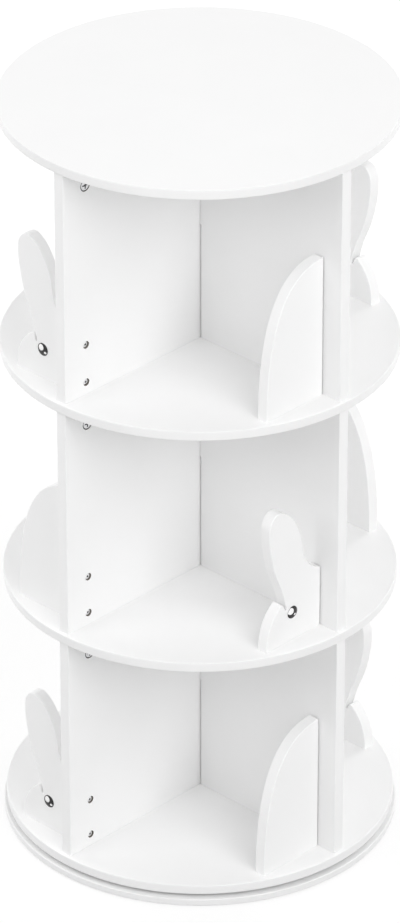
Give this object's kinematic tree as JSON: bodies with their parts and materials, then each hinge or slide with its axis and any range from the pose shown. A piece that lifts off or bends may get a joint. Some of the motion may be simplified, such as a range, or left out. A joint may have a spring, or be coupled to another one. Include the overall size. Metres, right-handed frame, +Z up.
{
  "type": "revolving bookcase",
  "caption": "White round revolving bookcase with tiered quarter compartments, crossed boards, fin and rabbit shaped dividers, and a turntable base.",
  "frame": {"origin": "on the floor, under the centre of the round base", "axes": "+Z up along the turning axis; the crossed boards lie along X and Y; the corner between +X and -Y is the front"},
  "size_m": [0.486, 0.486, 0.977],
  "materials": {
    "white_board": "white satin lacquer on fibreboard",
    "zinc_steel": "zinc plated",
    "black_gloss": "gloss, domed, with printed white glints",
    "pad_rubber": "matte",
    "cage_plastic": "moulded"
  },
  "bodies": {
    "base": {"base_plate": "white_board", "foot_pad_1": "pad_rubber", "foot_pad_2": "pad_rubber", "foot_pad_3": "pad_rubber", "foot_pad_4": "pad_rubber", "foot_pad_5": "pad_rubber", "foot_pad_6": "pad_rubber", "fixed_outer_race": "zinc_steel"},
    "carousel": {"turning_inner_race": "zinc_steel", "bottom_shelf": "white_board", "lower_middle_shelf": "white_board", "upper_middle_shelf": "white_board", "top_board": "white_board", "lower_wide_board": "white_board", "lower_deep_board": "white_board", "middle_wide_board": "white_board", "middle_deep_board": "white_board", "upper_wide_board": "white_board", "upper_deep_board": "white_board", "lower_cam_lock_1": "zinc_steel", "lower_cam_lock_2": "zinc_steel", "lower_cam_lock_3": "zinc_steel", "lower_cam_lock_4": "zinc_steel", "middle_cam_lock_1": "zinc_steel", "middle_cam_lock_2": "zinc_steel", "middle_cam_lock_3": "zinc_steel", "middle_cam_lock_4": "zinc_steel", "upper_cam_lock_1": "zinc_steel", "upper_cam_lock_2": "zinc_steel", "upper_cam_lock_3": "zinc_steel", "upper_cam_lock_4": "zinc_steel", "lower_front_fin_divider": "white_board", "lower_right_rabbit_divider": "white_board", "lower_back_fin_divider": "white_board", "lower_left_rabbit_divider": "white_board", "middle_front_rabbit_divider": "white_board", "middle_right_fin_divider": "white_board", "middle_back_rabbit_divider": "white_board", "middle_left_fin_divider": "white_board", "upper_front_fin_divider": "white_board", "upper_right_rabbit_divider": "white_board", "upper_back_fin_divider": "white_board", "upper_left_rabbit_divider": "white_board", "lower_right_rabbit_eye": "black_gloss", "lower_left_rabbit_eye": "black_gloss", "middle_front_rabbit_eye": "black_gloss", "middle_back_rabbit_eye": "black_gloss", "upper_right_rabbit_eye": "black_gloss", "upper_left_rabbit_eye": "black_gloss"},
    "ball_cage": {"ball_cage": "cage_plastic"}
  },
  "joints": [
    {"name": "spin", "type": "hinge", "parent": "base", "child": "carousel", "pos_m": [0, 0, 0.014], "axis": [0, 0, 1], "continuous": true},
    {"name": "cage_roll", "type": "hinge", "parent": "base", "child": "ball_cage", "pos_m": [0, 0, 0.014], "axis": [0, 0, 1], "continuous": true}
  ],
  "couplings": [
    {"joint": "cage_roll", "follows": "spin", "ratio": 0.5}
  ]
}
